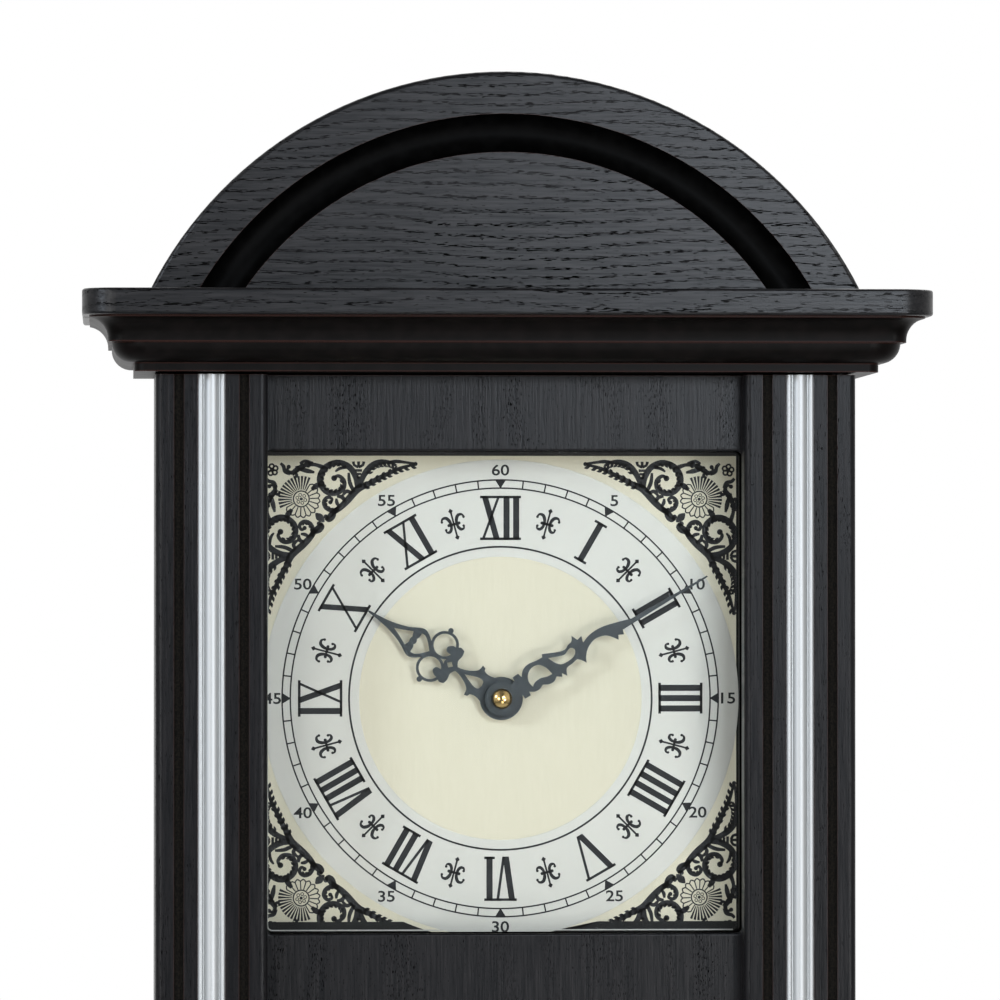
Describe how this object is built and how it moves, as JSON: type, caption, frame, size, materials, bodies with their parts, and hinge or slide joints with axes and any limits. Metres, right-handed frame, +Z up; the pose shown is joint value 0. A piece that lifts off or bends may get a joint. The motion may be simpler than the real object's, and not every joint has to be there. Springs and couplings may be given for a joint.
{
  "type": "pendulum clock",
  "caption": "Wall-hung pendulum clock with an arched pediment, moulded cornice and base, hinged glazed door with fluted pilasters, pierced hands and a swinging pendulum.",
  "frame": {"origin": "centre of the round entry of the hanger plate's keyhole, in the wall plane", "axes": "+Z up along the clock's height, +Y into the wall, -Y out of the dial, +X to the right of someone who looks at the dial"},
  "size_m": [0.302, 0.1165, 0.6173],
  "materials": {
    "black_oak": "black stained oak veneer, satin lacquer, open pores",
    "black_board": "black stained fibreboard, satin",
    "pale_wood": "bare beech",
    "silver_trim": "satin anodised aluminium extrusion",
    "clear_glass": "clear float glass",
    "dial_print": "printed aluminium, cream and silver, satin",
    "hand_enamel": "black enamelled steel, satin",
    "polished_brass": "polished brass",
    "zinc_steel": "zinc plated steel",
    "black_steel": "blackened steel, oiled",
    "black_plastic": "moulded, matt",
    "white_plastic": "moulded acetal",
    "copper_wire": "enamelled copper winding",
    "circuit_board": "green solder mask",
    "battery_jacket": "plain printed jacket, gloss",
    "magnet_ferrite": "sintered ferrite, dull"
  },
  "bodies": {
    "case": {"back_panel": "black_board", "side_panel_left": "black_oak", "side_panel_right": "black_oak", "base_board": "black_oak", "base_cove": "black_oak", "base_ovolo": "black_oak", "cornice_ovolo": "black_oak", "cornice_cove": "black_oak", "top_board": "black_oak", "pediment": "black_oak", "pediment_dowels": "pale_wood", "case_dowels": "pale_wood", "dial_battens": "black_board", "dial_board": "black_board", "dial_board_screws": "zinc_steel", "dial_plate": "dial_print", "hanger_block": "pale_wood", "hanger_plate": "zinc_steel", "hanger_screws": "zinc_steel", "catch_body": "black_plastic", "catch_magnet": "magnet_ferrite", "hinge_leaves_case": "black_steel", "hinge_pins": "zinc_steel", "hinge_screws_case": "black_steel", "movement_housing": "black_plastic", "movement_cover": "black_plastic", "movement_washer": "zinc_steel", "movement_nut": "polished_brass", "stator_coil": "copper_wire", "circuit_board": "circuit_board", "battery": "battery_jacket", "battery_contacts": "zinc_steel", "pendulum_housing": "black_plastic", "pendulum_coil": "copper_wire", "pendulum_pivot": "zinc_steel"},
    "minute": {"minute_arbor": "zinc_steel", "minute_hand": "hand_enamel", "hand_cap_nut": "polished_brass"},
    "motion": {"motion_wheel": "white_plastic"},
    "hour": {"hour_wheel": "white_plastic", "hour_hand": "hand_enamel"},
    "setter": {"setting_knob": "white_plastic"},
    "pendulum": {"pendulum_arm": "white_plastic", "pendulum_magnet": "magnet_ferrite", "pendulum_rod": "polished_brass", "pendulum_bob": "polished_brass", "rating_nut": "polished_brass"},
    "door": {"door_panel": "black_oak", "pilaster_left": "black_oak", "pilaster_right": "black_oak", "trim_strip_left": "silver_trim", "trim_strip_right": "silver_trim", "dial_glass": "clear_glass", "pendulum_glass": "clear_glass", "glass_beads": "black_board", "hinge_leaves_door": "black_steel", "hinge_screws_door": "black_steel", "strike_plate": "zinc_steel", "strike_screws": "zinc_steel"}
  },
  "joints": [
    {"name": "door_swing", "type": "hinge", "parent": "case", "child": "door", "pos_m": [0.119, -0.076, -0.2], "axis": [0, 0, 1], "range_deg": [0, 110]},
    {"name": "minute_turn", "type": "hinge", "parent": "case", "child": "minute", "pos_m": [0, -0.05, -0.0858], "axis": [0, 1, 0], "continuous": true},
    {"name": "hour_turn", "type": "hinge", "parent": "case", "child": "hour", "pos_m": [0, -0.05, -0.0858], "axis": [0, 1, 0], "continuous": true},
    {"name": "motion_turn", "type": "hinge", "parent": "case", "child": "motion", "pos_m": [0, -0.04, -0.0738], "axis": [0, 1, 0], "continuous": true},
    {"name": "setter_turn", "type": "hinge", "parent": "case", "child": "setter", "pos_m": [0.01039, -0.03, -0.0678], "axis": [0, 1, 0], "continuous": true},
    {"name": "pendulum_swing", "type": "hinge", "parent": "case", "child": "pendulum", "pos_m": [0, -0.035, -0.1238], "axis": [0, 1, 0], "range_deg": [-6, 6]}
  ],
  "couplings": [
    {"joint": "hour_turn", "follows": "minute_turn", "ratio": 0.083333},
    {"joint": "motion_turn", "follows": "minute_turn", "ratio": -0.33333},
    {"joint": "setter_turn", "follows": "minute_turn", "ratio": 1}
  ]
}
